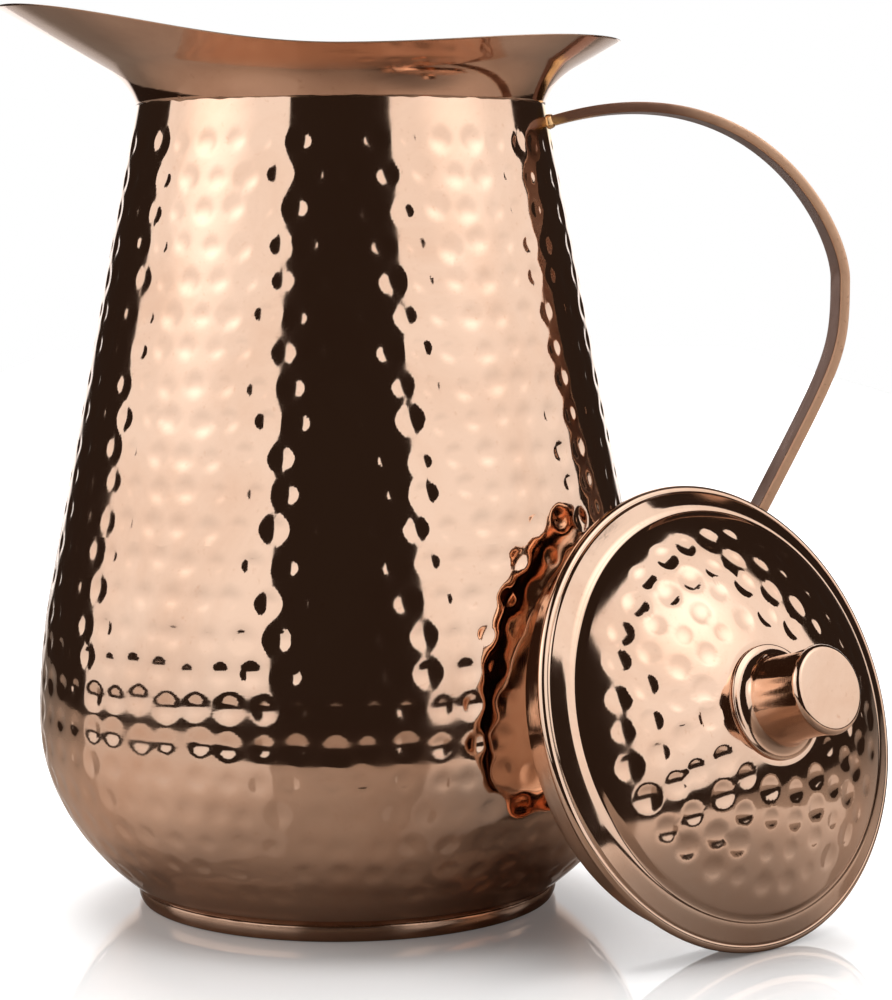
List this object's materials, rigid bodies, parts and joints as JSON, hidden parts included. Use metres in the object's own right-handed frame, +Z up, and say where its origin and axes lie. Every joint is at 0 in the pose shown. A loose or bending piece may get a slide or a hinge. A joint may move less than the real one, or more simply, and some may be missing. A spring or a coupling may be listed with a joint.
{
  "type": "copper water jug",
  "caption": "Hammered copper jug with a flared pouring mouth, strap handle and foot ring, and a domed lid with a knob leaning on it.",
  "frame": {"origin": "on the jug's axis, at the face that the foot ring stands on", "axes": "+Z up along the jug's axis, +X towards the handle, -X towards the spout"},
  "size_m": [0.2172, 0.1643, 0.2208],
  "materials": {
    "hammered_copper": "hammered and polished",
    "polished_copper": "polished",
    "inside_copper": "satin",
    "strap_copper": "polished faces, pitted cut edges",
    "braze": "buffed",
    "steel": "plated"
  },
  "bodies": {
    "jug": {"body_shell": "hammered_copper", "base_disc": "inside_copper", "foot_ring": "polished_copper", "foot_braze": "braze", "mouth_flare": "polished_copper", "neck_braze": "braze", "handle": "strap_copper", "handle_braze_upper": "braze", "handle_braze_lower": "braze"},
    "lid": {"lid_dome": "hammered_copper", "lid_skirt": "polished_copper", "knob": "polished_copper", "knob_washer": "steel", "knob_screw": "steel"}
  },
  "joints": [
    {"name": "lid_lift", "type": "slide", "parent": "jug", "child": "lid", "axis": [0.5825, -0.7564, 0.2974], "range_m": [0, 0.15]}
  ]
}
